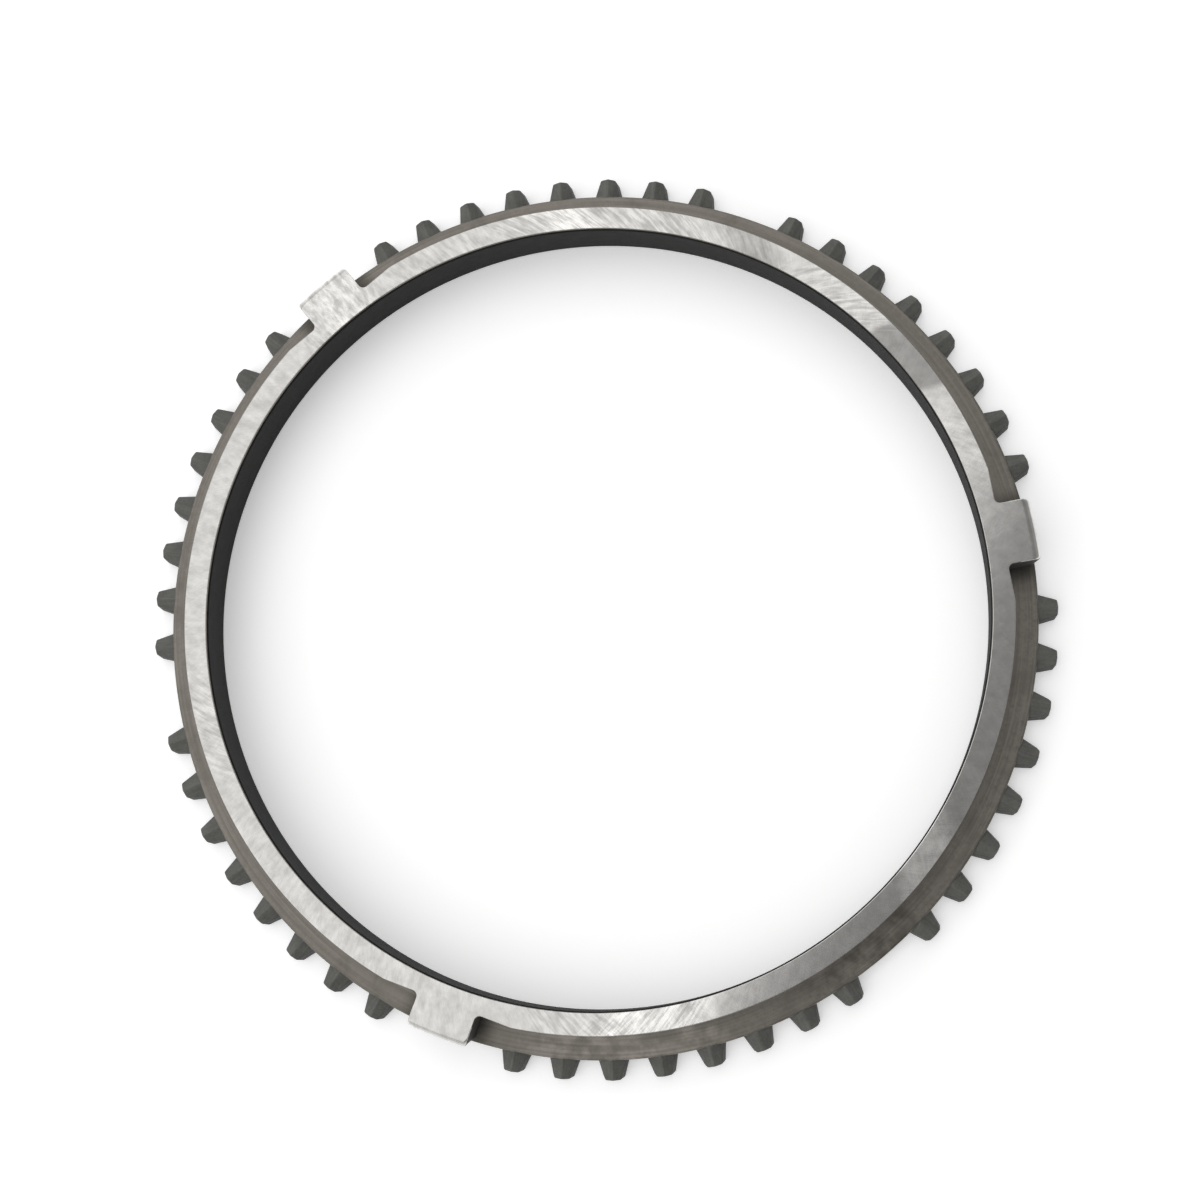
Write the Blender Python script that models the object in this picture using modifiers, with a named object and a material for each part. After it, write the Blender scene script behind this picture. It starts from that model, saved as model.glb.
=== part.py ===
"""Synchronizer ring of a heavy gearbox: a toothed steel ring with three drive lugs and a friction cone.

The ring lies on its gear side. The origin is on the axis, in the gear-side face; +Z points to the hub side,
and +X runs through the middle of one lug. All sizes are in metres.
"""

import math

import bmesh
import bpy
from mathutils import Matrix, Vector

# Friction cone: its lined face opens towards the gear side
CONE_RADIUS = 0.0731
CONE_HALF_ANGLE = math.radians(7.0)
LINING_THICKNESS = 0.0008
LINING_CLEARANCE = 0.0003
LINING_SETBACK = 0.0006
LINING_CHAMFER = 0.00015
SEAT_CHAMFER = 0.0005

# Steel ring: each radius is built outwards from the cone
SHOULDER_RELIEF = 0.0002
SHOULDER_HEIGHT = 0.0006
RIM_WALL = 0.0041
RIM_RISE = 0.0086
RIM_EDGE_CHAMFER = 0.0002
FLANGE_WIDTH = 0.0059
FLANGE_THICKNESS = 0.0040
FLANGE_CHAMFER = 0.00045
BACK_CHAMFER = 0.0004

# Locking teeth: a spline of equal pitch with some positions left empty
TOOTH_POSITIONS = 57
TOOTH_HEIGHT = 0.0037
TOOTH_ROOT_WIDTH = 0.0061
TOOTH_FLANK_ANGLE = math.radians(16.0)
TOOTH_DRAFT_ANGLE = math.radians(11.5)
TOOTH_TIP_ROUND = 0.0004
TOOTH_ROOF_ANGLE = math.radians(125.0)
TOOTH_RIDGE_DROP = 0.00005
TOOTH_BACK_SETBACK = 0.00025
TOOTH_LEAST_LAND = 0.0004
TOOTH_EMBED = 0.0020

# Drive lugs: they run in the slots of the hub
LUG_COUNT = 3
LUG_WIDTH = 0.0115
LUG_END_SETBACK = 0.0004
LUG_CORNER_ROUND = 0.00065
LUG_ROOT_FILLET = 0.0010
LUG_FLAT_DEPTH = 0.0010
LUG_TOP_ROUND = 0.0015

# Facets and overlaps
FACETS_PER_PITCH = 3
ARC_STEPS = 4
OVERLAP = 0.0020
WELD = 0.000001
SMOOTH_ANGLE = math.radians(28.0)

# Sizes that follow from the ones above
HEIGHT = FLANGE_THICKNESS + RIM_RISE
BORE_RADIUS = CONE_RADIUS + SHOULDER_RELIEF
RIM_RADIUS = BORE_RADIUS + RIM_WALL
FLANGE_RADIUS = RIM_RADIUS + FLANGE_WIDTH
TOOTH_TIP_RADIUS = FLANGE_RADIUS + TOOTH_HEIGHT
LUG_END_RADIUS = FLANGE_RADIUS - LUG_END_SETBACK
LUG_FLAT_DISTANCE = RIM_RADIUS - LUG_FLAT_DEPTH
LINING_TOP = HEIGHT - SHOULDER_HEIGHT - LINING_CLEARANCE
TURN = 2.0 * math.pi
PITCH = TURN / TOOTH_POSITIONS
SECTOR = TURN / LUG_COUNT
FACETS = TOOTH_POSITIONS * FACETS_PER_PITCH


def clear_scene():
    for obj in list(bpy.data.objects):
        bpy.data.objects.remove(obj, do_unlink=True)


def new_collection(name):
    collection = bpy.data.collections.new(name)
    bpy.context.scene.collection.children.link(collection)
    return collection


def new_material(name, color, roughness, metallic):
    material = bpy.data.materials.new(name)
    material.use_nodes = True
    shader = material.node_tree.nodes["Principled BSDF"]
    shader.inputs["Base Color"].default_value = (*color, 1.0)
    shader.inputs["Roughness"].default_value = roughness
    shader.inputs["Metallic"].default_value = metallic
    return material


def add_object(name, mesh, collection, cutter=False):
    obj = bpy.data.objects.new(name, mesh)
    collection.objects.link(obj)
    if cutter:
        obj.hide_render = True
        obj.display_type = "WIRE"
    return obj


def turned(name, profile, collection, closed=True, cutter=False):
    """A body of revolution about Z, from (radius, height) points that run down its outer side."""
    mesh = bpy.data.meshes.new(name)
    points = [(radius, 0.0, height) for radius, height in profile]
    edges = [(i, i + 1) for i in range(len(points) - 1)]
    if closed:
        edges.append((len(points) - 1, 0))
    mesh.from_pydata(points, edges, [])
    obj = add_object(name, mesh, collection, cutter)
    screw = obj.modifiers.new("Turn", "SCREW")
    screw.axis = "Z"
    screw.angle = TURN
    screw.steps = FACETS
    screw.render_steps = FACETS
    screw.use_merge_vertices = True
    screw.merge_threshold = WELD
    return obj


def combine(obj, other, operation):
    modifier = obj.modifiers.new(other.name, "BOOLEAN")
    modifier.operation = operation
    modifier.solver = "EXACT"
    modifier.object = other


def evaluated_mesh(obj):
    graph = bpy.context.evaluated_depsgraph_get()
    graph.update()
    return bpy.data.meshes.new_from_object(obj.evaluated_get(graph))


def apply_modifiers(obj):
    mesh = evaluated_mesh(obj)
    mesh.name = obj.name
    obj.modifiers.clear()
    obj.data = mesh


def finish(obj, material):
    """Applies the modelling and shades the round surfaces smooth."""
    apply_modifiers(obj)
    obj.data.materials.clear()
    obj.data.materials.append(material)
    obj.data.shade_smooth()
    obj.data.set_sharp_from_angle(angle=SMOOTH_ANGLE)


def arc(center, radius, start, end, steps=ARC_STEPS):
    """Points on a circle from one angle to another, both ends included."""
    turns = [start + (end - start) * i / steps for i in range(steps + 1)]
    return [(center[0] + radius * math.cos(a), center[1] + radius * math.sin(a)) for a in turns]


def lining_radius(height):
    """Radius of the lining's rubbing face at a height."""
    return CONE_RADIUS + (LINING_TOP - height) * math.tan(CONE_HALF_ANGLE)


def seat_radius(height):
    """Radius of the cone in the steel that carries the lining."""
    return lining_radius(height) + (LINING_THICKNESS + LINING_CLEARANCE) / math.cos(CONE_HALF_ANGLE)


def lining_profile():
    top = LINING_TOP
    bottom = LINING_SETBACK
    wall = LINING_THICKNESS / math.cos(CONE_HALF_ANGLE)
    return [
        (lining_radius(top) + LINING_CHAMFER, top),
        (lining_radius(top) + wall, top),
        (lining_radius(bottom) + wall, bottom),
        (lining_radius(bottom) + LINING_CHAMFER, bottom),
        (lining_radius(bottom + LINING_CHAMFER), bottom + LINING_CHAMFER),
        (lining_radius(top - LINING_CHAMFER), top - LINING_CHAMFER),
    ]


def flange_profile():
    """The flange that carries the teeth; its bore is left small for the bore cutter."""
    inner = BORE_RADIUS - OVERLAP
    return [
        (inner, FLANGE_THICKNESS),
        (FLANGE_RADIUS - FLANGE_CHAMFER, FLANGE_THICKNESS),
        (FLANGE_RADIUS, FLANGE_THICKNESS - FLANGE_CHAMFER),
        (FLANGE_RADIUS, BACK_CHAMFER),
        (FLANGE_RADIUS - BACK_CHAMFER, 0.0),
        (inner, 0.0),
    ]


def bore_profile():
    """What the bore removes: the opening in the ground face, the shoulder and the cone seat."""
    shoulder = HEIGHT - SHOULDER_HEIGHT
    seat_edge = seat_radius(SEAT_CHAMFER)
    return [
        (0.0, HEIGHT + OVERLAP),
        (BORE_RADIUS + RIM_EDGE_CHAMFER + OVERLAP, HEIGHT + OVERLAP),
        (BORE_RADIUS, HEIGHT - RIM_EDGE_CHAMFER),
        (BORE_RADIUS, shoulder),
        (seat_radius(shoulder), shoulder),
        (seat_edge, SEAT_CHAMFER),
        (seat_edge + SEAT_CHAMFER + OVERLAP, -OVERLAP),
        (0.0, -OVERLAP),
    ]


def lug_top_profile():
    """What rounds the top edge of each lug's end."""
    center = (LUG_END_RADIUS - LUG_TOP_ROUND, HEIGHT - LUG_TOP_ROUND)
    return [
        (center[0], HEIGHT + OVERLAP),
        (LUG_END_RADIUS + OVERLAP, HEIGHT + OVERLAP),
        (LUG_END_RADIUS + OVERLAP, center[1]),
        *arc(center, LUG_TOP_ROUND, 0.0, math.pi / 2.0),
    ]


def lug_half_outline():
    """Half a lug about +X, from where its flat runs out on the rim to the middle of its end."""
    side = LUG_WIDTH / 2.0
    run_out = math.sqrt(RIM_RADIUS**2 - LUG_FLAT_DISTANCE**2)
    root = (LUG_FLAT_DISTANCE + LUG_ROOT_FILLET, side + LUG_ROOT_FILLET)
    corner_y = side - LUG_CORNER_ROUND
    corner_x = math.sqrt((LUG_END_RADIUS - LUG_CORNER_ROUND) ** 2 - corner_y**2)
    corner_angle = math.atan2(corner_y, corner_x)
    points = [(LUG_FLAT_DISTANCE, run_out)]
    points += arc(root, LUG_ROOT_FILLET, math.pi, 1.5 * math.pi)
    points += arc((corner_x, corner_y), LUG_CORNER_ROUND, 0.5 * math.pi, corner_angle)
    points += arc((0.0, 0.0), LUG_END_RADIUS, corner_angle, 0.0)[1:]
    return points


def rim_outline():
    """The outer line of the rim with its lugs, anticlockwise."""
    half = lug_half_outline()
    lug = [(x, -y) for x, y in half[:-1]] + half[::-1]
    run_out = math.atan2(half[0][1], half[0][0])
    step = TURN / FACETS
    first = math.floor(run_out / step) + 1
    last = math.ceil((SECTOR - run_out) / step) - 1
    rim = arc((0.0, 0.0), RIM_RADIUS, first * step, last * step, last - first)
    points = []
    for number in range(LUG_COUNT):
        turn = Matrix.Rotation(number * SECTOR, 2)
        points += [turn @ Vector(point) for point in lug + rim]
    return points


def extruded(name, outline, low, high, collection):
    """A flat outline given its thickness between two heights, as a cutter mesh with welded caps."""
    curve = bpy.data.curves.new(name, "CURVE")
    curve.dimensions = "2D"
    curve.fill_mode = "BOTH"
    curve.extrude = (high - low) / 2.0
    spline = curve.splines.new("POLY")
    spline.points.add(len(outline) - 1)
    for point, (x, y) in zip(spline.points, outline):
        point.co = (x, y, 0.0, 1.0)
    spline.use_cyclic_u = True
    guide = bpy.data.objects.new(name + "_outline", curve)
    collection.objects.link(guide)
    mesh = evaluated_mesh(guide)
    mesh.name = name
    bpy.data.objects.remove(guide, do_unlink=True)
    model = bmesh.new()
    model.from_mesh(mesh)
    bmesh.ops.remove_doubles(model, verts=model.verts, dist=WELD)
    bmesh.ops.recalc_face_normals(model, faces=model.faces)
    model.to_mesh(mesh)
    model.free()
    obj = add_object(name, mesh, collection, cutter=True)
    obj.location.z = (high + low) / 2.0
    return obj


def tooth_half_width(radius):
    return TOOTH_ROOT_WIDTH / 2.0 - (radius - FLANGE_RADIUS) * math.tan(TOOTH_FLANK_ANGLE)


def tooth_stations():
    """(radius, half width) of a tooth's sections, from inside the flange to its rounded tip."""
    start = FLANGE_RADIUS - TOOTH_EMBED
    corner_radius = TOOTH_TIP_RADIUS - TOOTH_TIP_ROUND
    corner_width = tooth_half_width(corner_radius) - TOOTH_TIP_ROUND / math.cos(TOOTH_FLANK_ANGLE)
    flank_end = math.pi / 2.0 - TOOTH_FLANK_ANGLE
    tip = arc((corner_radius, corner_width), TOOTH_TIP_ROUND, flank_end, 0.0)
    return [(start, tooth_half_width(start))] + tip


def tooth_section(half_width):
    """(across, height) corners of a tooth: a flat back, two leaning flanks and a roof with a middle ridge."""
    back = TOOTH_BACK_SETBACK
    ridge = FLANGE_THICKNESS - TOOTH_RIDGE_DROP
    slope = 1.0 / math.tan(TOOTH_ROOF_ANGLE / 2.0)
    lean = math.tan(TOOTH_DRAFT_ANGLE)
    eave = (ridge - slope * (half_width + back * lean)) / (1.0 - slope * lean)
    eave = max(eave, back + TOOTH_LEAST_LAND)
    eave_width = half_width - (eave - back) * lean
    return [(-half_width, back), (half_width, back), (eave_width, eave), (0.0, ridge), (-eave_width, eave)]


def loft(model, sections):
    """Skins a row of sections with equal numbers of corners, and closes both ends."""
    rings = [[model.verts.new(corner) for corner in section] for section in sections]
    for near, far in zip(rings, rings[1:]):
        for i, corner in enumerate(near):
            j = (i + 1) % len(near)
            model.faces.new((corner, near[j], far[j], far[i]))
    model.faces.new(rings[0][::-1])
    model.faces.new(rings[-1])


def tooth_angles():
    """Places of the teeth: every pitch, but not beside a lug or midway between two lugs."""
    beside_lug = (LUG_WIDTH / 2.0 + TOOTH_ROOT_WIDTH) / FLANGE_RADIUS
    angles = []
    for position in range(TOOTH_POSITIONS):
        angle = (position + 0.5) * PITCH
        from_lug = abs((angle + SECTOR / 2.0) % SECTOR - SECTOR / 2.0)
        midway = SECTOR / 2.0 - from_lug < PITCH / 4.0
        if from_lug > beside_lug and not midway:
            angles.append(angle)
    return angles


def make_teeth(collection):
    model = bmesh.new()
    for angle in tooth_angles():
        turn = Matrix.Rotation(angle, 3, "Z")
        loft(
            model,
            [
                [turn @ Vector((radius, across, height)) for across, height in tooth_section(half_width)]
                for radius, half_width in tooth_stations()
            ],
        )
    bmesh.ops.recalc_face_normals(model, faces=model.faces)
    mesh = bpy.data.meshes.new("teeth")
    model.to_mesh(mesh)
    model.free()
    return add_object("teeth", mesh, collection, cutter=True)


def make_ring_body(parts, cutters):
    body = turned("ring_body", flange_profile(), parts)
    rim = extruded("rim_and_lugs", rim_outline(), FLANGE_THICKNESS / 2.0, HEIGHT, cutters)
    lug_top = turned("lug_top", lug_top_profile(), cutters, cutter=True)
    bore = turned("bore", bore_profile(), cutters, closed=False, cutter=True)
    combine(body, rim, "UNION")
    combine(body, make_teeth(cutters), "UNION")
    combine(body, lug_top, "DIFFERENCE")
    combine(body, bore, "DIFFERENCE")
    finish(body, new_material("forged_steel", (0.30, 0.29, 0.27), 0.42, 1.0))


def make_friction_lining(parts):
    lining = turned("friction_lining", lining_profile(), parts)
    finish(lining, new_material("friction_lining", (0.025, 0.026, 0.024), 0.85, 0.0))


def main():
    clear_scene()
    parts = new_collection("synchronizer_ring")
    cutters = new_collection("cutters")
    make_ring_body(parts, cutters)
    make_friction_lining(parts)


main()
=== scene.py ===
"""Looks of the synchronizer ring: ground, turned and pressed steel with rounded edges, a lined cone, soft light."""

import math

import bmesh
import bpy
from mathutils import Matrix, Vector


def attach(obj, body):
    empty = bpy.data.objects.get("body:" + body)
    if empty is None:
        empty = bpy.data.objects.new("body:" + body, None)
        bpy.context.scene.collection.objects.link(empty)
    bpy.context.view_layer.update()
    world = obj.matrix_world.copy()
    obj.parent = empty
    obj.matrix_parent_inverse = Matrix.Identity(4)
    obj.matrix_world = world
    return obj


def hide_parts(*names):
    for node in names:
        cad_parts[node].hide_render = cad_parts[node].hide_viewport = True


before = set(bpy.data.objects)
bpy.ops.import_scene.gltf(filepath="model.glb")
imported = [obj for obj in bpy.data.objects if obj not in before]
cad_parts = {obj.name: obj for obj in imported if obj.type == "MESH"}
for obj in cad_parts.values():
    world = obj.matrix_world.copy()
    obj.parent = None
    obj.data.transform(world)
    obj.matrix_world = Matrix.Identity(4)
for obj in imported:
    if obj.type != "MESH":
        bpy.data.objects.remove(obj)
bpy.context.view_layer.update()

MM = 0.001
TURN = 2.0 * math.pi

# Sizes of the solids, in millimetres
HEIGHT = 12.6
FLANGE_THICKNESS = 4.0
FLANGE_RADIUS = 83.3
RIM_RADIUS = 77.4
BORE_RADIUS = 73.3
SHOULDER_HEIGHT = 0.6
SEAT_CHAMFER = 0.5
CONE_RADIUS = 73.1
CONE_HALF_ANGLE = math.radians(7.0)
CONE_SLOPE = math.tan(CONE_HALF_ANGLE)
LINING_THICKNESS = 0.8
LINING_CLEARANCE = 0.3
LINING_BOTTOM = 0.6
LINING_TOP = HEIGHT - SHOULDER_HEIGHT - LINING_CLEARANCE
LINING_WALL = LINING_THICKNESS / math.cos(CONE_HALF_ANGLE)
SEAT_WALL = (LINING_THICKNESS + LINING_CLEARANCE) / math.cos(CONE_HALF_ANGLE)
TOOTH_POSITIONS = 57
TOOTH_TIP_RADIUS = 87.0
TOOTH_ROOT_WIDTH = 6.1
TOOTH_FLANK_SLOPE = math.tan(math.radians(16.0))
TOOTH_DRAFT = math.tan(math.radians(11.5))
TOOTH_ROOF_SLOPE = 1.0 / math.tan(math.radians(125.0) / 2.0)
TOOTH_RIDGE = 3.95
TOOTH_BACK = 0.25
TOOTH_TIP_ROUND = 0.4
LUG_COUNT = 3
LUG_WIDTH = 11.5
LUG_END_RADIUS = 82.9
LUG_FLAT_DISTANCE = 76.4
LUG_CORNER_ROUND = 0.65
LUG_ROOT_FILLET = 1.0
LUG_TOP_ROUND = 1.5

# Roundings that the solids leave sharp
EDGE_ROUND = 0.15
FLANGE_ROUND = 0.4
BORE_ROUND = 0.07
TOOTH_TIP_EDGE_ROUND = 0.45
TOOTH_EAVE_ROUND = 0.5
TOOTH_RIDGE_ROUND = 0.5
TOOTH_BACK_ROUND = 0.15
TOOTH_BACK_SHARE = 0.25  # how much the back draws in at the tip, as a share of the ridge's drop there
LINING_EDGE_ROUND = 0.15
LINING_BACK_ROUND = 0.05

# Steps round the ring, inner radii of the blank and of the bore's cutter, how far solids reach into each other,
# and the width of the flat border along the ground face's outer edge
STEPS = TOOTH_POSITIONS * 12
BLANK_RADIUS = 70.0
CUTTER_RADIUS = BLANK_RADIUS - 4.0
OVERLAP = 2.0
TOOTH_EMBED = 1.0
FACE_BORDER = 0.3

# Where a finish begins, and which edges stay sharp
FACE_DEPTH = 0.02
LEAST_UPNESS = 0.3
LEVEL = 0.9999
SHARP_ANGLE = math.radians(40.0)

# Tints of the finishes at full tone
GROUND_TINT = (1.0, 0.98, 0.945, 1.0)
FILM_TINT = (1.08, 1.0, 0.88, 1.0)
PRESSED_TINT = (1.0, 1.0, 0.92, 1.0)
LINING_TINT = (1.0, 1.0, 0.96, 1.0)
BLACK = (0.0, 0.0, 0.0, 1.0)
WHITE = (1.0, 1.0, 1.0, 1.0)

# Painted shade on the flange in the corners beside the lugs, in degrees from a lug's middle, and its tone
LUG_SHADE_HALF = 5.6
LUG_SHADE_SOFT = 3.0
LUG_SHADE_TONE = 0.45

GROUND_TONE = 0.50
# Stretches of the ground face with painted sheen, lighter or darker where the grinding lay would catch the light:
# lean, middle, half length and soft edge in degrees, change of tone
GROUND_SHEEN_PATCHES = [
    (0.3, 29.2, 5.8, 1.5, -0.50),
    (-0.9, 55.0, 4.0, 5.0, -0.30),
    (-0.9, 83.0, 4.0, 3.0, 0.25),
    (0.0, 119.0, 4.0, 4.0, 0.20),
    (0.6, 271.0, 8.0, 3.0, 0.36),
    (0.8, 314.5, 5.0, 4.0, 0.70),
]
# Grinding strokes by stretches: lean, middle, half length, soft edge, strength
STROKES = [
    (0.9, 15.0, 8.0, 10.0, 0.20),
    (1.0, 43.0, 8.0, 5.0, 0.55),
    (-0.9, 56.0, 5.0, 5.0, 0.40),
    (-1.2, 77.0, 16.0, 8.0, 0.65),
    (-0.4, 103.0, 9.0, 6.0, 0.35),
    (0.0, 120.0, 7.0, 4.0, 0.50),
    (0.15, 155.0, 30.0, 10.0, 0.15),
    (0.9, 188.0, 8.0, 6.0, 0.40),
    (-0.2, 220.0, 24.0, 10.0, 0.20),
    (-1.0, 256.0, 6.0, 5.0, 0.45),
    (1.0, 269.0, 8.0, 5.0, 0.50),
    (0.8, 315.0, 36.0, 10.0, 0.12),
]
# Stretches of the flange with stains: middle, half length, soft edge, change of tone
STAINED_PATCHES = [
    (298.0, 9.0, 8.0, -0.35),
    (264.0, 13.0, 8.0, 0.50),
]

# Ceiling, floor and camera; the camera is the one that was fitted to the photo
CEILING_START = 0.6
CEILING_FULL = 0.75
FLOOR_HALF = 4000.0
FLOOR_GAP = 0.02
FLOOR_TONE = 0.95
FLOOR_GLOW = 0.29
CAMERA_LENS = 41.327
CAMERA_SENSOR = 36.0
CAMERA_SHIFT = (-0.0565966, 0.0368574)
CAMERA_PLACE = (0.023147, -0.037104, 0.264524)
CAMERA_TURN = (5.85427, 3.46908, -10.03507)


# ---------- profiles and outlines ----------

def rounded(corners, steps=4):
    """A closed line through (x, y, rounding) corners, with an arc at each corner that has a rounding."""
    points = []
    for i, (x, y, radius) in enumerate(corners):
        here = Vector((x, y))
        if radius == 0.0:
            points.append(here)
            continue
        before = (Vector(corners[i - 1][:2]) - here).normalized()
        after = (Vector(corners[(i + 1) % len(corners)][:2]) - here).normalized()
        half = before.angle(after) / 2.0
        center = here + (before + after).normalized() * radius / math.sin(half)
        start = here + before * radius / math.tan(half) - center
        end = here + after * radius / math.tan(half) - center
        turn = math.atan2(start.x * end.y - start.y * end.x, start.dot(end))
        points += [center + Matrix.Rotation(turn * k / steps, 2) @ start for k in range(steps + 1)]
    return [(p.x, p.y) for p in points]


def arc(center, radius, start, end, steps):
    turns = [start + (end - start) * k / steps for k in range(steps + 1)]
    return [(center[0] + radius * math.cos(a), center[1] + radius * math.sin(a)) for a in turns]


def line(start, end, steps):
    """Points from start to end, without the last one."""
    return [tuple(a + (b - a) * k / steps for a, b in zip(start, end)) for k in range(steps)]


def lug_half_outline(end_radius):
    """Half a lug about +X, from its flat's run-out on the rim to the middle of its end."""
    side = LUG_WIDTH / 2.0
    run_out = (LUG_FLAT_DISTANCE, math.sqrt(RIM_RADIUS**2 - LUG_FLAT_DISTANCE**2))
    root = (LUG_FLAT_DISTANCE + LUG_ROOT_FILLET, side + LUG_ROOT_FILLET)
    corner_y = side - LUG_CORNER_ROUND
    corner = (math.sqrt((end_radius - LUG_CORNER_ROUND) ** 2 - corner_y**2), corner_y)
    turn = math.atan2(corner[1], corner[0])
    points = line(run_out, (LUG_FLAT_DISTANCE, root[1]), 8)
    points += arc(root, LUG_ROOT_FILLET, math.pi, 1.5 * math.pi, 8)[:-1]
    points += line((root[0], side), (corner[0], side), 8)
    points += arc(corner, LUG_CORNER_ROUND, 0.5 * math.pi, turn, 6)
    points += arc((0.0, 0.0), end_radius, turn, 0.0, 8)[1:]
    return points


def rim_outline(end_radius, inset):
    """The rim's outer line with its lugs, anticlockwise, moved inwards by the inset."""
    half = lug_half_outline(end_radius)
    lug = [(x, -y) for x, y in half[:-1]] + half[::-1]
    run_out = math.atan2(half[0][1], half[0][0])
    steps = STEPS // LUG_COUNT
    rim = arc((0.0, 0.0), RIM_RADIUS, run_out, TURN / LUG_COUNT - run_out, steps)[1:-1]
    sector = [Vector(p) for p in lug + rim]
    points = [Matrix.Rotation(k * TURN / LUG_COUNT, 2) @ p for k in range(LUG_COUNT) for p in sector]
    moved = []
    for i, point in enumerate(points):
        after = (points[(i + 1) % len(points)] - point).normalized()
        before = (point - points[i - 1]).normalized()
        along = (before + after).normalized()
        moved.append(point + inset * Vector((-along.y, along.x)) / max(along.dot(after), 0.5))
    return moved


# ---------- meshes ----------

def mesh_object(name, vertices, faces):
    mesh = bpy.data.meshes.new(name)
    mesh.from_pydata([Vector(v) * MM for v in vertices], [], faces)
    mesh.validate()
    obj = bpy.data.objects.new(name, mesh)
    bpy.context.scene.collection.objects.link(obj)
    return obj


def skin(loops):
    """Vertices and faces of a closed skin: each loop of points is joined to the next, the last to the first."""
    count = len(loops[0])
    vertices = [p for loop in loops for p in loop]
    faces = []
    for k in range(len(loops)):
        a = k * count
        b = (k + 1) % len(loops) * count
        for i in range(count):
            j = (i + 1) % count
            faces.append((a + i, a + j, b + j, b + i))
    return vertices, faces


def turned(name, profile, steps=STEPS):
    """A body of revolution from a closed (radius, height) line."""
    turns = [TURN * k / steps for k in range(steps)]
    loops = [[(r * math.cos(a), r * math.sin(a), z) for a in turns] for r, z in profile]
    obj = mesh_object(name, *skin(loops))
    face_outwards(obj.data)
    return obj


def face_outwards(mesh):
    model = bmesh.new()
    model.from_mesh(mesh)
    bmesh.ops.recalc_face_normals(model, faces=model.faces)
    if model.calc_volume(signed=True) < 0.0:
        bmesh.ops.reverse_faces(model, faces=model.faces)
    model.to_mesh(mesh)
    model.free()


def evaluated_mesh(obj):
    graph = bpy.context.evaluated_depsgraph_get()
    graph.update()
    return bpy.data.meshes.new_from_object(obj.evaluated_get(graph))


def combine(obj, other, operation):
    """Joins the other solid to the object, or cuts it away, and removes the other."""
    modifier = obj.modifiers.new(other.name, "BOOLEAN")
    modifier.operation = operation
    modifier.solver = "EXACT"
    modifier.object = other
    mesh = evaluated_mesh(obj)
    obj.modifiers.clear()
    obj.data = mesh
    bpy.data.objects.remove(other, do_unlink=True)


def make_flange():
    return turned("flange", rounded([
        (BLANK_RADIUS, FLANGE_THICKNESS, 0.0),
        (FLANGE_RADIUS, FLANGE_THICKNESS, FLANGE_ROUND),
        (FLANGE_RADIUS, 0.0, FLANGE_ROUND),
        (BLANK_RADIUS, 0.0, 0.0),
    ]))


def lug_end_radius(height):
    """How far the lugs reach at a height: their ends round off at the top."""
    past = min(max(0.0, height - (HEIGHT - LUG_TOP_ROUND)), LUG_TOP_ROUND)
    return LUG_END_RADIUS - LUG_TOP_ROUND + math.sqrt(LUG_TOP_ROUND**2 - past**2)


def make_rim():
    """The raised rim with its lugs, as a skin over outlines at rising heights."""
    levels = [(FLANGE_THICKNESS - OVERLAP, 0.0), (FLANGE_THICKNESS, 0.0)]
    below = HEIGHT - LUG_TOP_ROUND
    levels += [(FLANGE_THICKNESS + (below - FLANGE_THICKNESS) * k / 4.0, 0.0) for k in (1, 2, 3)]
    levels += [(below + LUG_TOP_ROUND * math.sin(math.radians(a)), 0.0) for a in range(0, 60, 10)]
    for k in range(6):
        turn = 0.5 * math.pi * k / 5
        levels.append((HEIGHT - EDGE_ROUND * (1.0 - math.sin(turn)), EDGE_ROUND * (1.0 - math.cos(turn))))
    levels.append((HEIGHT, EDGE_ROUND + FACE_BORDER))
    loops = [[(p.x, p.y, z) for p in rim_outline(lug_end_radius(z), inset)] for z, inset in levels]
    inner = [Vector(p).xy.normalized() * BLANK_RADIUS for p in loops[0]]
    loops.append([(p.x, p.y, HEIGHT) for p in inner])
    loops.append([(p.x, p.y, FLANGE_THICKNESS - OVERLAP) for p in inner])
    obj = mesh_object("rim", *skin(loops))
    face_outwards(obj.data)
    return obj


def seat_radius(height):
    return CONE_RADIUS + (LINING_TOP - height) * CONE_SLOPE + SEAT_WALL


def make_bore():
    """What the bore takes away, with a small rounding where it meets the ground face."""
    shoulder = HEIGHT - SHOULDER_HEIGHT
    lip = arc((BORE_RADIUS + BORE_ROUND, HEIGHT - BORE_ROUND), BORE_ROUND, math.pi, 0.5 * math.pi, 4)
    return turned("bore", [
        (CUTTER_RADIUS, -OVERLAP),
        (seat_radius(SEAT_CHAMFER) + SEAT_CHAMFER + OVERLAP, -OVERLAP),
        (seat_radius(SEAT_CHAMFER), SEAT_CHAMFER),
        (seat_radius(shoulder), shoulder),
        (BORE_RADIUS, shoulder),
        *lip,
        (BORE_RADIUS + BORE_ROUND, HEIGHT + OVERLAP),
        (CUTTER_RADIUS, HEIGHT + OVERLAP),
    ])


def tooth_half_width(radius):
    return TOOTH_ROOT_WIDTH / 2.0 - (radius - FLANGE_RADIUS) * TOOTH_FLANK_SLOPE


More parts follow.
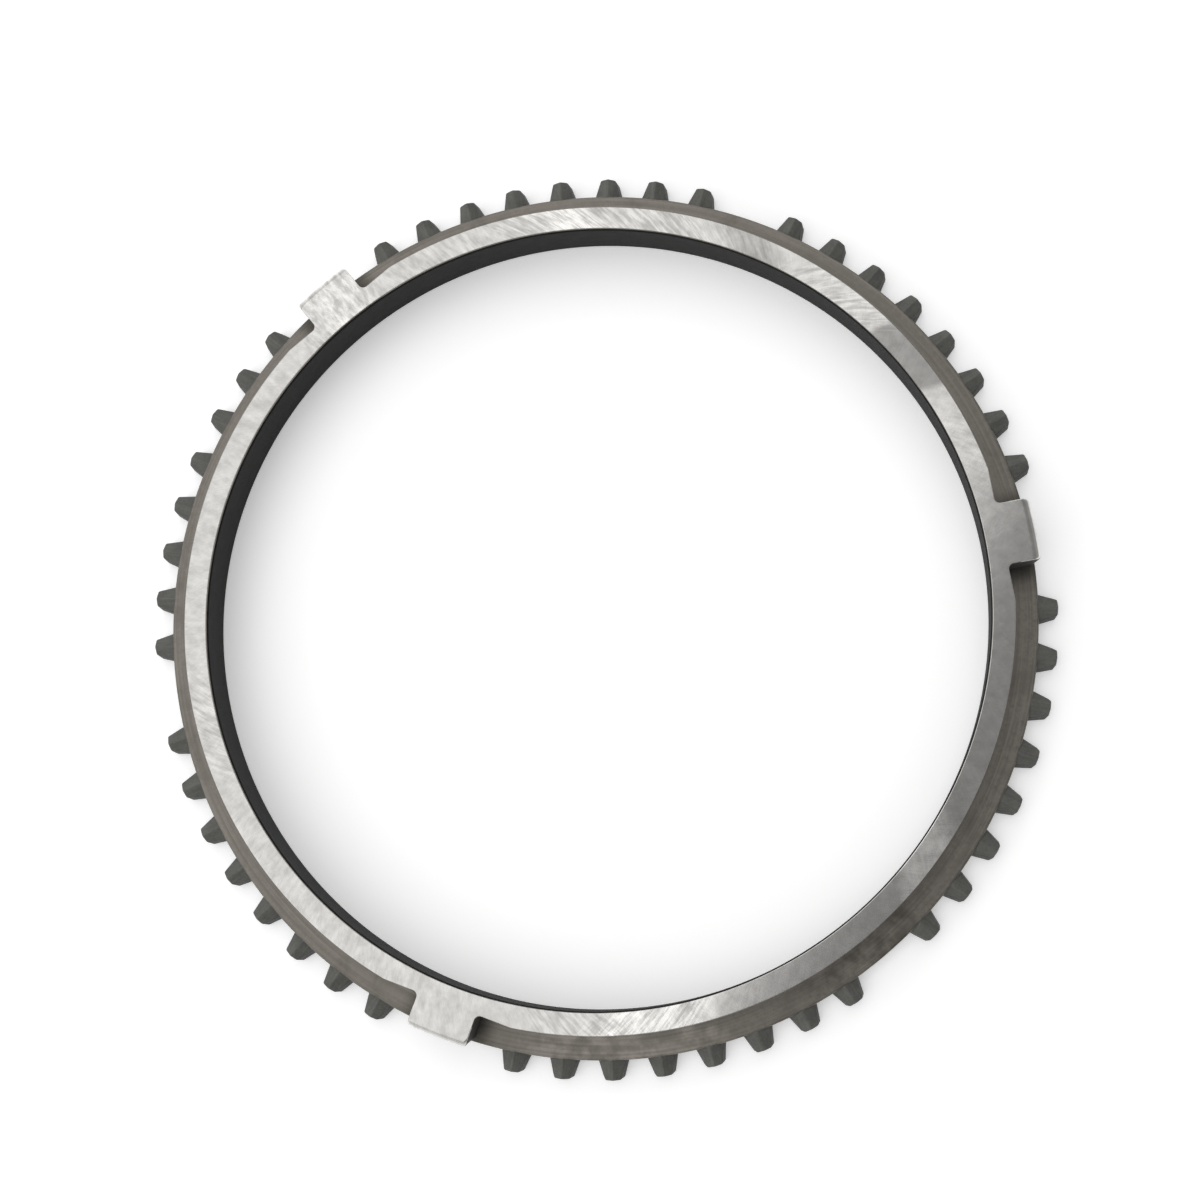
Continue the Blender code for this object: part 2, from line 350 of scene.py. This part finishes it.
def tooth_section(radius, half_width):
    """A rounded five-cornered section: flat back, leaning flanks, a roof of two facets, drawn in at the tip."""
    left = min(max(0.0, TOOTH_TIP_RADIUS - radius), TOOTH_TIP_EDGE_ROUND)
    inset = TOOTH_TIP_EDGE_ROUND - math.sqrt(left * (2.0 * TOOTH_TIP_EDGE_ROUND - left))
    back, ridge = TOOTH_BACK + TOOTH_BACK_SHARE * inset, TOOTH_RIDGE - inset
    eave = ridge - TOOTH_ROOF_SLOPE * (half_width + back * TOOTH_DRAFT)
    eave /= 1.0 - TOOTH_ROOF_SLOPE * TOOTH_DRAFT
    eave_width = half_width - (eave - back) * TOOTH_DRAFT
    return [(radius, y, z) for y, z in rounded([
        (-half_width, back, TOOTH_BACK_ROUND),
        (half_width, back, TOOTH_BACK_ROUND),
        (eave_width, eave, TOOTH_EAVE_ROUND),
        (0.0, ridge, TOOTH_RIDGE_ROUND),
        (-eave_width, eave, TOOTH_EAVE_ROUND),
    ])]


def make_tooth():
    """One tooth about +X, lofted outwards to its rounded tip."""
    flank = math.atan(TOOTH_FLANK_SLOPE)
    round_radius = TOOTH_TIP_RADIUS - TOOTH_TIP_ROUND
    round_width = tooth_half_width(round_radius) - TOOTH_TIP_ROUND / math.cos(flank)
    root = FLANGE_RADIUS - TOOTH_EMBED
    stations = [(root, tooth_half_width(root))]
    stations += arc((round_radius, round_width), TOOTH_TIP_ROUND, math.pi / 2.0 - flank, 0.0, 8)
    sections = [tooth_section(r, w) for r, w in stations]
    count = len(sections[0])
    vertices = [p for section in sections for p in section]
    faces = [tuple(reversed(range(count)))]
    for k in range(len(sections) - 1):
        for i in range(count):
            j = (i + 1) % count
            faces.append((count * k + i, count * k + j, count * (k + 1) + j, count * (k + 1) + i))
    faces.append(tuple(range(len(vertices) - count, len(vertices))))
    tooth = mesh_object("tooth", vertices, faces)
    face_outwards(tooth.data)
    return tooth


def tooth_angles():
    """Places of the teeth: every pitch, but not beside a lug or midway between two lugs."""
    pitch = TURN / TOOTH_POSITIONS
    sector = TURN / LUG_COUNT
    angles = []
    for position in range(TOOTH_POSITIONS):
        angle = (position + 0.5) * pitch
        from_lug = abs((angle + sector / 2.0) % sector - sector / 2.0)
        if from_lug > pitch and sector / 2.0 - from_lug > pitch / 4.0:
            angles.append(angle)
    return angles


def make_teeth():
    tooth = make_tooth()
    model = bmesh.new()
    for angle in tooth_angles():
        copy = tooth.data.copy()
        copy.transform(Matrix.Rotation(angle, 4, "Z"))
        model.from_mesh(copy)
        bpy.data.meshes.remove(copy)
    mesh = bpy.data.meshes.new("teeth")
    model.to_mesh(mesh)
    model.free()
    bpy.data.objects.remove(tooth, do_unlink=True)
    obj = bpy.data.objects.new("teeth", mesh)
    bpy.context.scene.collection.objects.link(obj)
    return obj


def make_ring():
    ring = make_flange()
    ring.name = "steel_ring"
    combine(ring, make_rim(), "UNION")
    combine(ring, make_teeth(), "UNION")
    combine(ring, make_bore(), "DIFFERENCE")
    return ring


def make_lining():
    top, bottom = LINING_TOP, LINING_BOTTOM
    high = CONE_RADIUS
    low = CONE_RADIUS + (top - bottom) * CONE_SLOPE
    return turned("cone_lining", rounded([
        (high, top, LINING_EDGE_ROUND),
        (high + LINING_WALL, top, LINING_BACK_ROUND),
        (low + LINING_WALL, bottom, LINING_BACK_ROUND),
        (low, bottom, LINING_EDGE_ROUND),
    ]))


# ---------- materials ----------

class Shader:
    """A material's node tree, with short calls for the nodes that it needs."""

    def __init__(self, name):
        self.material = bpy.data.materials.new(name)
        self.material.use_nodes = True
        self.tree = self.material.node_tree
        self.surface = self.tree.nodes["Principled BSDF"]
        self.find_place()

    def node(self, kind, inputs=(), **settings):
        made = self.tree.nodes.new(kind)
        for key, value in settings.items():
            setattr(made, key, value)
        for key, value in dict(inputs).items():
            self.put(made.inputs[key], value)
        return made

    def put(self, socket, value):
        if isinstance(value, bpy.types.NodeSocket):
            self.tree.links.new(value, socket)
        else:
            socket.default_value = value

    def math(self, operation, *values):
        return self.node("ShaderNodeMath", enumerate(values), operation=operation).outputs[0]

    def add(self, a, b):
        return self.math("ADD", a, b)

    def times(self, a, b):
        return self.math("MULTIPLY", a, b)

    def mix(self, factor, a, b):
        made = self.node("ShaderNodeMix", data_type="RGBA")
        for index, value in ((0, factor), (6, a), (7, b)):
            self.put(made.inputs[index], value)
        return made.outputs[2]

    def blend(self, factor, a, b):
        """Two values mixed."""
        return self.node("ShaderNodeMix", {0: factor, 2: a, 3: b}).outputs[0]

    def span(self, value, low, high, to_low=0.0, to_high=1.0):
        """The range low to high spread smoothly over another range, and kept inside it."""
        inputs = {0: value, 1: low, 2: high, 3: to_low, 4: to_high}
        return self.node("ShaderNodeMapRange", inputs, interpolation_type="SMOOTHSTEP").outputs[0]

    def vector(self, x=0.0, y=0.0, z=0.0):
        return self.node("ShaderNodeCombineXYZ", {0: x, 1: y, 2: z}).outputs[0]

    def noise(self, vector, scale, detail=3.0, roughness=0.55):
        inputs = {"Vector": vector, "Scale": scale, "Detail": detail, "Roughness": roughness}
        return self.node("ShaderNodeTexNoise", inputs).outputs["Fac"]

    def find_place(self):
        """The place in millimetres, with its radius and its angle about the axis."""
        place = self.node("ShaderNodeTexCoord").outputs["Object"]
        scaled = self.node("ShaderNodeVectorMath", {0: place, "Scale": 1.0 / MM}, operation="SCALE")
        self.place = scaled.outputs[0]
        x, y, self.height = self.node("ShaderNodeSeparateXYZ", {0: self.place}).outputs
        self.radius = self.math("SQRT", self.add(self.times(x, x), self.times(y, y)))
        self.angle = self.math("ARCTAN2", y, x)

    def leaning_angle(self, lean):
        """The angle that a stroke across the rim starts from, when it leans so much along per step out."""
        outwards = self.math("SUBTRACT", self.radius, BORE_RADIUS)
        return self.math("MULTIPLY_ADD", outwards, lean / BORE_RADIUS, self.angle)

    def strokes(self, lean, scale, seed, fade=0.05, detail=4.0):
        """Noise drawn out into strokes that cross the rim, leaning along it."""
        angle = self.leaning_angle(lean)
        x = self.times(self.math("COSINE", angle), BORE_RADIUS)
        y = self.times(self.math("SINE", angle), BORE_RADIUS)
        along = self.math("MULTIPLY_ADD", self.radius, fade, seed)
        return self.noise(self.vector(x, y, along), scale, detail, 0.6)

    def rings(self, scale, seed, drift=2.0):
        """Noise drawn out into turned rings about the axis."""
        x = self.times(self.math("COSINE", self.angle), drift)
        y = self.times(self.math("SINE", self.angle), drift)
        across = self.math("MULTIPLY_ADD", self.add(self.radius, self.height), scale, seed)
        return self.noise(self.vector(x, y, across), 1.0, 3.0, 0.6)

    def patch(self, angle, center, half, soft):
        """1 within a stretch of the ring, falling to 0 over a soft edge on either side."""
        turn = self.math("WRAP", self.math("SUBTRACT", angle, math.radians(center)), math.pi, -math.pi)
        inner, outer = (math.radians(half + side * soft) for side in (-0.5, 0.5))
        return self.span(self.math("ABSOLUTE", turn), inner, outer, 1.0, 0.0)

    def upness(self):
        """How far the surface faces up: 1 for a level top, 0 for an upright side."""
        normal = self.node("ShaderNodeNewGeometry").outputs["Normal"]
        return self.node("ShaderNodeSeparateXYZ", {0: normal}).outputs[2]

    def bump(self, height, distance):
        inputs = {"Height": height, "Strength": 1.0, "Distance": distance * MM}
        self.put(self.surface.inputs["Normal"], self.node("ShaderNodeBump", inputs).outputs[0])

    def finish(self, color, roughness, metallic=1.0):
        self.put(self.surface.inputs["Base Color"], color)
        self.put(self.surface.inputs["Roughness"], roughness)
        self.surface.inputs["Metallic"].default_value = metallic
        return self.material


def ground_material():
    """The ground face: soft strokes that cross the rim, their lean and strength changing by stretches, with
    stretches of painted sheen and painted light on the tilted rounded edges.
    """
    s = Shader("ground_steel")
    cloud = s.noise(s.place, 0.45, 4.0)
    fine = s.strokes(-0.6, 4.0, 200.0, fade=0.15, detail=2.0)
    stroke = s.add(s.times(cloud, 0.22), s.times(fine, 0.08))
    for index, (lean, center, half, soft, strength) in enumerate(STROKES):
        mark = s.math("SUBTRACT", s.strokes(lean, 1.1, 40.0 * index, fade=0.3), 0.5)
        patch = s.patch(s.leaning_angle(lean), center, half, soft)
        stroke = s.add(stroke, s.times(s.times(mark, patch), strength))
    swing = s.span(stroke, 0.0, 0.3, -0.3, 0.3)
    tone = s.times(s.add(swing, 1.0), GROUND_TONE)
    # Painted sheen: whole stretches of the face made lighter or darker in colour, standing in for glints of the
    # grinding lay
    for lean, center, half, soft, change in GROUND_SHEEN_PATCHES:
        patch = s.patch(s.leaning_angle(lean), center, half, soft)
        if change > 0.0:
            patch = s.times(patch, s.span(stroke, 0.05, 0.2, 0.5, 1.0))
        tone = s.times(tone, s.blend(patch, 1.0, 1.0 + change))
    # Painted light: faces that tilt away from level, such as the rounded lug ends and edges, are made up to 1.35
    # times lighter
    tone = s.times(tone, s.span(s.upness(), 0.55, 0.98, 1.35, 1.0))
    color = s.mix(tone, BLACK, GROUND_TINT)
    s.bump(stroke, 0.02)
    return s.finish(color, s.span(stroke, 0.0, 0.3, 0.17, 0.13))


def turned_material():
    """The turned flange: fine rings about the axis under a thin brown film with stains, and painted shade in the
    corners beside the lugs.
    """
    s = Shader("turned_steel")
    ring = s.rings(2.6, 0.0)
    cloud = s.noise(s.place, 0.16, 3.0)
    fleck = s.noise(s.place, 1.1, 3.0, 0.65)
    tone = s.span(s.add(s.times(ring, 0.5), s.times(fleck, 0.5)), 0.35, 0.65, 0.14, 0.21)
    stain = s.times(s.span(cloud, 0.50, 0.66), s.span(fleck, 0.35, 0.6))
    tone = s.times(tone, s.blend(stain, 1.0, 0.8))
    # Painted shade: the flange darkens beside each lug, where the lug and the rim wall shut out light
    for index in range(LUG_COUNT):
        corner = s.patch(s.angle, 360.0 * index / LUG_COUNT, LUG_SHADE_HALF, LUG_SHADE_SOFT)
        tone = s.times(tone, s.blend(corner, 1.0, LUG_SHADE_TONE))
    for center, half, soft, change in STAINED_PATCHES:
        uneven = s.span(s.noise(s.place, 0.3, 2.0), 0.35, 0.65)
        blotch = s.times(s.patch(s.angle, center, half, soft), uneven)
        tone = s.times(tone, s.blend(blotch, 1.0, 1.0 + change))
    color = s.mix(tone, BLACK, FILM_TINT)
    s.bump(s.add(ring, s.times(fleck, 0.5)), 0.008)
    return s.finish(color, s.span(fleck, 0.35, 0.65, 0.42, 0.52))


def pressed_material():
    """The teeth and walls: dark pressed steel with faint marks along the teeth, and painted shade that darkens
    upright sides against level tops.
    """
    s = Shader("pressed_steel")
    cloud = s.noise(s.place, 0.35, 2.0)
    fleck = s.noise(s.place, 2.4, 4.0, 0.65)
    mark = s.strokes(0.0, 3.0, 0.0)
    mottle = s.add(s.times(cloud, 0.3), s.add(s.times(fleck, 0.4), s.times(mark, 0.3)))
    tone = s.span(mottle, 0.38, 0.62, 0.076, 0.112)
    # Painted shade: upright flanks and walls are darkened to 0.55, level tops lightened to 1.25
    tone = s.times(tone, s.span(s.upness(), 0.3, 0.85, 0.55, 1.25))
    color = s.mix(tone, BLACK, PRESSED_TINT)
    s.bump(s.add(fleck, mark), 0.01)
    s.surface.inputs["Specular IOR Level"].default_value = 0.25
    return s.finish(color, s.span(fleck, 0.35, 0.65, 0.5, 0.62), metallic=0.1)


def lining_material():
    """The friction lining: a matte black compound with short fibres and fine pores."""
    s = Shader("friction_lining")
    cloud = s.noise(s.place, 0.5, 3.0)
    grain = s.noise(s.place, 6.0, 3.0, 0.7)
    thread = s.rings(4.0, 60.0, 30.0)
    mottle = s.add(s.times(cloud, 0.3), s.add(s.times(grain, 0.4), s.times(thread, 0.3)))
    color = s.mix(s.span(mottle, 0.38, 0.62, 0.008, 0.018), BLACK, LINING_TINT)
    s.bump(s.add(grain, s.times(thread, 0.6)), 0.03)
    s.surface.inputs["Specular IOR Level"].default_value = 0.3
    return s.finish(color, s.span(grain, 0.35, 0.65, 0.75, 0.9), metallic=0.0)


def finish_of(center, normal):
    """Which finish a face of the steel ring has: 0 ground, 1 turned, 2 pressed."""
    radius = center.xy.length
    depth = HEIGHT - center.z
    on_face = depth < FACE_DEPTH
    on_lip = depth < BORE_ROUND and radius < BORE_RADIUS + BORE_ROUND
    on_lug_end = depth < LUG_TOP_ROUND and radius > RIM_RADIUS + LUG_TOP_ROUND and normal.z > LEAST_UPNESS
    if on_face or on_lip or on_lug_end:
        return 0
    in_bore = radius < RIM_RADIUS - 1.0
    on_flange = radius < FLANGE_RADIUS and abs(normal.z) > LEAST_UPNESS
    return 1 if in_bore or on_flange else 2


def assign_materials(ring):
    """Each surface of the steel ring gets its own finish, by where it lies and which way it faces."""
    for material in (ground_material(), turned_material(), pressed_material()):
        ring.data.materials.append(material)
    for face in ring.data.polygons:
        face.material_index = finish_of(face.center / MM, face.normal)


def smooth(obj):
    """Smooth shading, except over sharp edges and round the ground face, which stays flat."""
    obj.data.shade_smooth()
    obj.data.set_sharp_from_angle(angle=SHARP_ANGLE)
    top = LEVEL * HEIGHT * MM
    model = bmesh.new()
    model.from_mesh(obj.data)
    for edge in model.edges:
        on_face = [f.normal.z > LEVEL and f.calc_center_median().z > top for f in edge.link_faces]
        if any(on_face) and not all(on_face):
            edge.smooth = False
    model.to_mesh(obj.data)
    model.free()
    weighted = obj.modifiers.new("Normals", "WEIGHTED_NORMAL")
    weighted.keep_sharp = True
    weighted.weight = 50


# ---------- stage, light and camera ----------

def make_floor():
    """A pale floor that the camera and the steel see as white, with the ring's soft shadow."""
    corners = ((-1.0, -1.0), (1.0, -1.0), (1.0, 1.0), (-1.0, 1.0))
    vertices = [(FLOOR_HALF * x, FLOOR_HALF * y, 0.0) for x, y in corners]
    floor = mesh_object("floor", vertices, [(0, 1, 2, 3)])
    floor.location.z = -FLOOR_GAP * MM
    s = Shader("floor")
    floor.data.materials.append(s.finish((FLOOR_TONE, FLOOR_TONE, FLOOR_TONE, 1.0), 1.0, metallic=0.0))
    path = s.node("ShaderNodeLightPath").outputs
    reflected = s.math("MAXIMUM", path["Is Glossy Ray"], path["Is Transmission Ray"])
    seen = s.math("MAXIMUM", path["Is Camera Ray"], reflected)
    s.surface.inputs["Specular IOR Level"].default_value = 0.0
    s.surface.inputs["Emission Color"].default_value = WHITE
    s.put(s.surface.inputs["Emission Strength"], s.times(seen, FLOOR_GLOW))


def make_lamp(name, angle, elevation, distance, width, height, radiance):
    """A soft lamp panel that looks at the ring from an angle and a height."""
    data = bpy.data.lights.new(name, "AREA")
    data.shape = "RECTANGLE"
    data.size = width
    data.size_y = height
    data.energy = radiance * math.pi * width * height
    lamp = bpy.data.objects.new(name, data)
    bpy.context.scene.collection.objects.link(lamp)
    a, e = math.radians(angle), math.radians(elevation)
    lamp.location = distance * Vector((math.cos(a) * math.cos(e), math.sin(a) * math.cos(e), math.sin(e)))
    lamp.rotation_euler = lamp.location.to_track_quat("Z", "Y").to_euler()


def make_world(angle, bright, dim, zenith):
    """A studio whose walls are brighter on the lamp's side, with a darker ceiling."""
    world = bpy.data.worlds.new("studio")
    bpy.context.scene.world = world
    world.use_nodes = True
    tree = world.node_tree

    def span(value, *levels):
        node = tree.nodes.new("ShaderNodeMapRange")
        node.interpolation_type = "SMOOTHSTEP"
        for socket, level in zip(node.inputs, (value, *levels)):
            if isinstance(level, bpy.types.NodeSocket):
                tree.links.new(level, socket)
            else:
                socket.default_value = level
        return node.outputs[0]

    direction = tree.nodes.new("ShaderNodeTexCoord").outputs["Generated"]
    split = tree.nodes.new("ShaderNodeSeparateXYZ")
    tree.links.new(direction, split.inputs[0])
    side = tree.nodes.new("ShaderNodeVectorMath")
    side.operation = "DOT_PRODUCT"
    tree.links.new(direction, side.inputs[0])
    side.inputs[1].default_value = (math.cos(math.radians(angle)), math.sin(math.radians(angle)), 0.0)
    walls = span(side.outputs["Value"], -1.0, 1.0, dim, bright)
    background = tree.nodes["Background"]
    background.inputs["Color"].default_value = WHITE
    strength = span(split.outputs[2], CEILING_START, CEILING_FULL, walls, zenith)
    tree.links.new(strength, background.inputs["Strength"])


def make_camera():
    data = bpy.data.cameras.new("camera")
    data.lens = CAMERA_LENS
    data.sensor_width = CAMERA_SENSOR
    data.shift_x, data.shift_y = CAMERA_SHIFT
    data.clip_start = 0.01
    camera = bpy.data.objects.new("camera", data)
    bpy.context.scene.collection.objects.link(camera)
    camera.location = CAMERA_PLACE
    camera.rotation_euler = [math.radians(a) for a in CAMERA_TURN]
    bpy.context.scene.camera = camera


make_camera()
ring = make_ring()
assign_materials(ring)
smooth(ring)
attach(ring, "root")
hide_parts("ring_body")

lining = make_lining()
lining.data.materials.append(lining_material())
smooth(lining)
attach(lining, "root")
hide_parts("friction_lining")

make_floor()
make_lamp("key", angle=143.0, elevation=70.7, distance=1.0, width=2.3, height=0.962, radiance=1.0)
make_world(angle=165.0, bright=1.1, dim=0.45, zenith=0.33)
bpy.context.scene.view_settings.view_transform = "Standard"
